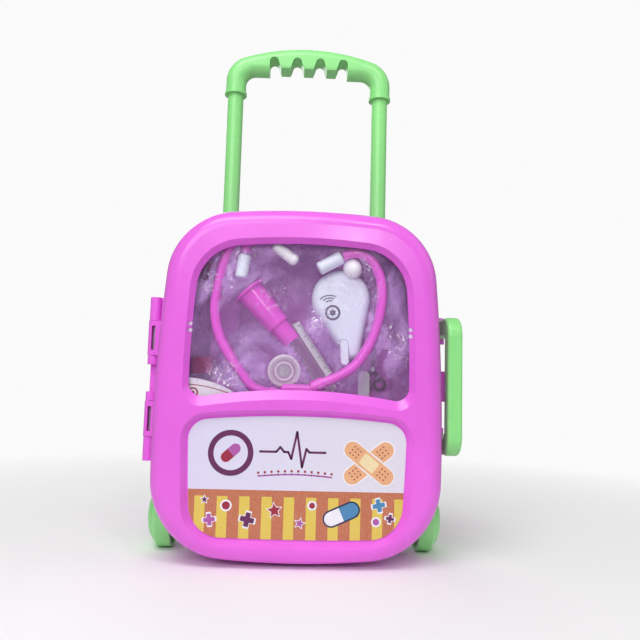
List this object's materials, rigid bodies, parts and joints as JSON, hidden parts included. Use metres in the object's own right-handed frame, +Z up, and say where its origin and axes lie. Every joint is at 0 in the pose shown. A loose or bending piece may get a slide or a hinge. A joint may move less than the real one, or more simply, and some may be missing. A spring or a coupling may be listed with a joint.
{
  "type": "toy doctor case",
  "caption": "Rolling toy case with a hinged windowed door, telescopic pull handle, folding side handle and two wheels, holding a clear bag of play medical instruments.",
  "frame": {"origin": "middle of the bounding box's underside, on the floor that the wheels and front feet stand on", "axes": "+Z up, +Y to the back, away from the door, +X to the carry handle's side, to the right when facing the door"},
  "size_m": [0.2475, 0.0954, 0.439],
  "materials": {
    "case_plastic": "satin moulded",
    "window_plastic": "clear",
    "label": "printed sheet",
    "green_plastic": "satin moulded",
    "steel": "plated",
    "clear_film": "clear film",
    "pink_toy": "moulded",
    "white_plastic": "moulded",
    "grey_plastic": "moulded",
    "clear_toy": "clear moulded",
    "purple_plastic": "moulded",
    "card": "coated card",
    "red_plastic": "moulded"
  },
  "bodies": {
    "case": {"tray": "case_plastic", "back_cover": "case_plastic", "guide_bush_left": "green_plastic", "guide_bush_right": "green_plastic", "hinge_pin_upper": "steel", "hinge_pin_lower": "steel", "latch_pin": "steel", "carry_handle_pins": "steel", "axle_pin_left": "steel", "axle_pin_right": "steel", "back_cover_screws": "steel", "thermometer_trigger_pin": "steel", "scissors_rivet": "steel", "lens_core": "steel", "silver_clip": "steel", "clear_bag": "clear_film", "stethoscope_tube_left": "pink_toy", "stethoscope_tube_right": "pink_toy", "ear_scope": "pink_toy", "stethoscope_ear_tip_left": "white_plastic", "stethoscope_ear_tip_right": "white_plastic", "stethoscope_yoke": "white_plastic", "thermometer_body": "white_plastic", "white_capsule": "white_plastic", "scale_strip": "white_plastic", "spatula": "white_plastic", "thermometer_probe": "grey_plastic", "clear_tube": "clear_toy", "round_lens": "clear_toy", "scissors_half_a": "purple_plastic", "paper_card": "card", "pill_box": "red_plastic", "maroon_button": "red_plastic"},
    "door": {"lid": "case_plastic", "lid_window": "window_plastic", "label_panel": "label"},
    "latch": {"latch": "case_plastic"},
    "pull_handle": {"pull_grip": "green_plastic", "pull_post_left": "green_plastic", "pull_post_right": "green_plastic", "post_slider_left": "green_plastic", "post_slider_right": "green_plastic"},
    "carry_handle": {"carry_handle": "green_plastic"},
    "wheel_left": {"wheel_left": "green_plastic", "hub_cap_left": "green_plastic"},
    "wheel_right": {"wheel_right": "green_plastic", "hub_cap_right": "green_plastic"},
    "trigger": {"thermometer_trigger": "white_plastic"},
    "scissor_blade": {"scissors_half_b": "purple_plastic"}
  },
  "joints": [
    {"name": "door_hinge", "type": "hinge", "parent": "case", "child": "door", "pos_m": [-0.117, -0.0175, 0.138], "axis": [0, 0, -1], "range_deg": [0, 175]},
    {"name": "latch_pivot", "type": "hinge", "parent": "case", "child": "latch", "pos_m": [0.1142, 0.0023, 0.138], "axis": [0, 0, 1], "range_deg": [0, 100]},
    {"name": "pull_handle_slide", "type": "slide", "parent": "case", "child": "pull_handle", "axis": [0, 0, 1], "range_m": [-0.118, 0]},
    {"name": "carry_handle_pivot", "type": "hinge", "parent": "case", "child": "carry_handle", "pos_m": [0.11995, 0.0223, 0.1385], "axis": [0, 0, 1], "range_deg": [0, 95]},
    {"name": "wheel_left_spin", "type": "hinge", "parent": "case", "child": "wheel_left", "pos_m": [-0.106, 0.0213, 0.0264], "axis": [1, 0, 0], "continuous": true},
    {"name": "wheel_right_spin", "type": "hinge", "parent": "case", "child": "wheel_right", "pos_m": [0.106, 0.0213, 0.0264], "axis": [1, 0, 0], "continuous": true},
    {"name": "thermometer_trigger_pivot", "type": "hinge", "parent": "case", "child": "trigger", "pos_m": [0.034, -0.02645, 0.17], "axis": [0.998, 0, 0.0633], "range_deg": [0, 6]},
    {"name": "scissors_pivot", "type": "hinge", "parent": "case", "child": "scissor_blade", "pos_m": [0.0614, 0.0085, 0.151], "axis": [0, 1, 0], "range_deg": [0, 25]}
  ]
}
